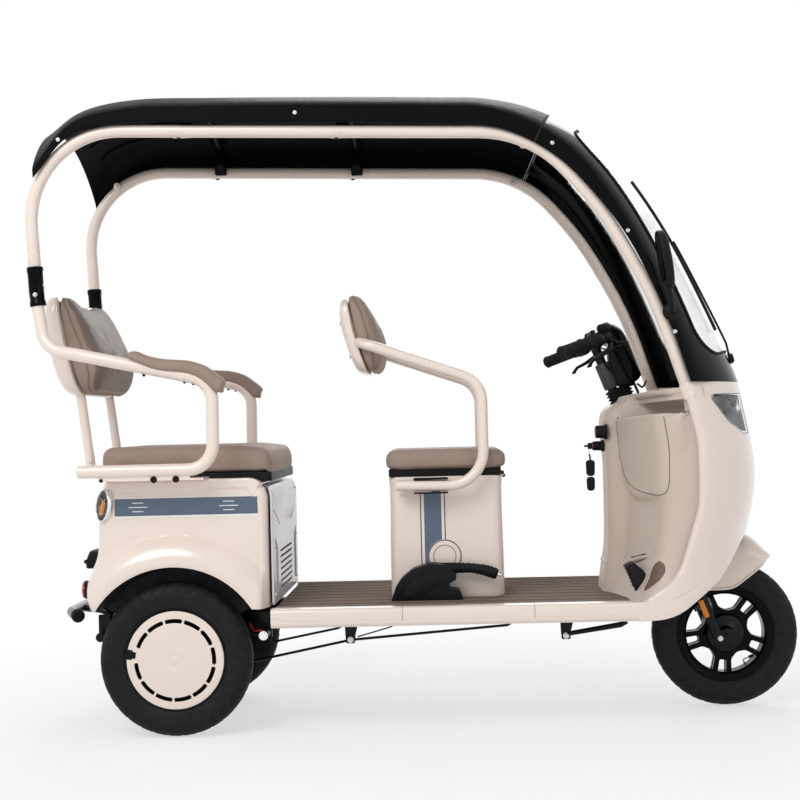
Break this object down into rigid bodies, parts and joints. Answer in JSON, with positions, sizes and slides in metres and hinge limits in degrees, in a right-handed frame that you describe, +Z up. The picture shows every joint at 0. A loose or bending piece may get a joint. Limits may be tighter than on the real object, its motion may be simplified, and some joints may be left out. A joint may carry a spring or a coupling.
{
  "type": "electric passenger tricycle",
  "caption": "Electric tricycle with a driver's pedestal seat, a rear bench, bent-tube arms, a fixed canopy and a curved windscreen.",
  "frame": {"origin": "on the ground at the middle of the vehicle's overall length and width", "axes": "+X forward, +Y to the vehicle's left, +Z up"},
  "size_m": [2.1083, 0.9462, 1.7717],
  "materials": {
    "cream_body": "high gloss",
    "cream_metal": "gloss",
    "black_gloss": "high gloss",
    "black_plastic": "satin",
    "black_metal": "satin",
    "taupe_leather": "soft grain",
    "taupe_mat": "ribbed",
    "tyre_rubber": "matt",
    "black_rubber": "matt",
    "panel_grey": "satin",
    "clear_screen": "clear",
    "lamp_lens": "clear over chrome",
    "tail_lens": "lens",
    "cast_metal": "cast",
    "battery_case": "satin"
  },
  "bodies": {
    "chassis": {"main_frame": "black_metal", "floor_pan": "cream_body", "floor_mat": "taupe_mat", "front_cowl": "cream_body", "legshield": "cream_body", "headlamps": "lamp_lens", "windscreen": "clear_screen", "windscreen_frame": "black_gloss", "canopy_roof": "black_plastic", "canopy_frame": "cream_metal", "canopy_sleeves": "black_metal", "rear_body": "cream_body", "rear_box_panel": "panel_grey", "rear_arm_frames": "cream_metal", "armrest_pads": "taupe_leather", "back_frame": "cream_metal", "back_shell": "cream_body", "back_pad": "taupe_leather", "driver_pedestal": "cream_body", "driver_arm_frame": "cream_metal", "driver_back_shell": "cream_body", "driver_back_pad": "taupe_leather", "rear_axle": "cast_metal", "rear_springs": "black_metal", "battery": "battery_case", "tail_lamps": "tail_lens", "plate_bracket": "black_plastic", "rear_bumper": "black_metal", "parking_brake": "black_plastic", "brake_pedal": "black_rubber", "brake_rods": "black_metal", "mirrors": "black_plastic", "ignition": "black_plastic"},
    "rear_seat": {"rear_seat_base": "black_plastic", "rear_seat_cushion": "taupe_leather"},
    "driver_seat": {"driver_seat_base": "black_plastic", "driver_seat_cushion": "taupe_leather"},
    "steering": {"fork": "black_metal", "mudguard": "cream_body", "handlebar": "black_metal", "grips": "black_rubber", "display_pod": "black_gloss", "steering_boot": "black_rubber"},
    "front_wheel": {"front_tyre": "tyre_rubber", "front_wheel": "black_metal"},
    "rear_wheel_right": {"rear_tyre_right": "tyre_rubber", "rear_wheel_right": "cream_metal"},
    "rear_wheel_left": {"rear_tyre_left": "tyre_rubber", "rear_wheel_left": "cream_metal"}
  },
  "joints": [
    {"name": "steering_turn", "type": "hinge", "parent": "chassis", "child": "steering", "pos_m": [0.782, 0, 0.308], "axis": [-0.3584, 0, 0.9336], "range_deg": [-40, 40]},
    {"name": "front_wheel_spin", "type": "hinge", "parent": "steering", "child": "front_wheel", "pos_m": [0.85, 0, 0.208], "axis": [0, 1, 0], "continuous": true},
    {"name": "rear_wheel_right_spin", "type": "hinge", "parent": "chassis", "child": "rear_wheel_right", "pos_m": [-0.67, -0.313, 0.208], "axis": [0, 1, 0], "continuous": true},
    {"name": "rear_wheel_left_spin", "type": "hinge", "parent": "chassis", "child": "rear_wheel_left", "pos_m": [-0.67, 0.313, 0.208], "axis": [0, 1, 0], "continuous": true},
    {"name": "rear_seat_lift", "type": "hinge", "parent": "chassis", "child": "rear_seat", "pos_m": [-0.3955, 0, 0.685], "axis": [0, 1, 0], "range_deg": [0, 68]},
    {"name": "driver_seat_lift", "type": "hinge", "parent": "chassis", "child": "driver_seat", "pos_m": [0.2295, 0, 0.672], "axis": [0, 1, 0], "range_deg": [0, 48]}
  ]
}
